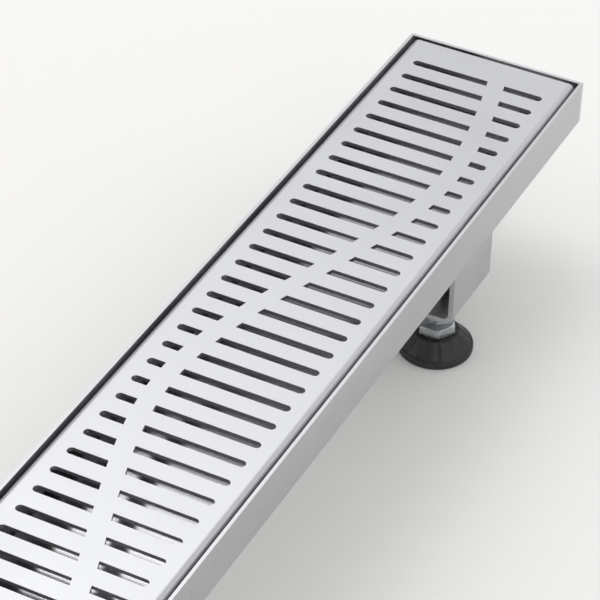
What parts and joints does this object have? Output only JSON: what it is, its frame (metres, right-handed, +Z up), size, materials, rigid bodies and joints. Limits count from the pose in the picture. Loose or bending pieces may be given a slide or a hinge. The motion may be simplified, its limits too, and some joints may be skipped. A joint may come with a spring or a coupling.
{
  "type": "channel drain",
  "caption": "Narrow stainless linear shower drain: wave-patterned slotted cover in a folded tray with a pipe outlet, odour trap and levelling feet.",
  "frame": {"origin": "on the floor, under the middle of the channel", "axes": "+X across the channel, +Y along it, +Z up; the end that the picture shows is at +Y"},
  "size_m": [0.071, 0.7258, 0.07],
  "materials": {
    "cover_steel": "satin stainless steel sheet, fine matt finish",
    "tray_steel": "cold-rolled stainless steel sheet, smooth and bright",
    "bracket_steel": "stainless steel sheet, matt",
    "plated_steel": "zinc-plated steel",
    "trap_plastic": "moulded polypropylene, light grey",
    "pad_plastic": "moulded polyamide, black",
    "seal_rubber": "moulded rubber, black",
    "silicone": "translucent silicone rubber"
  },
  "bodies": {
    "channel": {"grate": "cover_steel", "tray": "tray_steel", "end_plate_near": "tray_steel", "end_plate_far": "tray_steel", "outlet_spigot": "tray_steel", "odour_trap_core": "trap_plastic", "trap_seal_ring": "seal_rubber", "trap_membrane": "silicone", "hair_strainer": "cover_steel", "grate_buffer_1": "seal_rubber", "grate_buffer_2": "seal_rubber", "grate_buffer_3": "seal_rubber", "grate_buffer_4": "seal_rubber", "grate_buffer_5": "seal_rubber", "grate_buffer_6": "seal_rubber", "grate_buffer_7": "seal_rubber", "grate_buffer_8": "seal_rubber", "foot_bracket_1": "bracket_steel", "foot_bracket_2": "bracket_steel", "weld_nut_1": "plated_steel", "lock_nut_1": "plated_steel", "weld_nut_2": "plated_steel", "lock_nut_2": "plated_steel", "weld_nut_3": "plated_steel", "lock_nut_3": "plated_steel", "weld_nut_4": "plated_steel", "lock_nut_4": "plated_steel"},
    "foot_1": {"foot_screw_1": "plated_steel", "foot_pad_1": "pad_plastic"},
    "foot_2": {"foot_screw_2": "plated_steel", "foot_pad_2": "pad_plastic"},
    "foot_3": {"foot_screw_3": "plated_steel", "foot_pad_3": "pad_plastic"},
    "foot_4": {"foot_screw_4": "plated_steel", "foot_pad_4": "pad_plastic"}
  },
  "joints": [
    {"name": "foot_1_travel", "type": "slide", "parent": "channel", "child": "foot_1", "axis": [0, 0, -1], "range_m": [-0.005, 0.008]},
    {"name": "foot_2_travel", "type": "slide", "parent": "channel", "child": "foot_2", "axis": [0, 0, -1], "range_m": [-0.005, 0.008]},
    {"name": "foot_3_travel", "type": "slide", "parent": "channel", "child": "foot_3", "axis": [0, 0, -1], "range_m": [-0.005, 0.008]},
    {"name": "foot_4_travel", "type": "slide", "parent": "channel", "child": "foot_4", "axis": [0, 0, -1], "range_m": [-0.005, 0.008]}
  ]
}
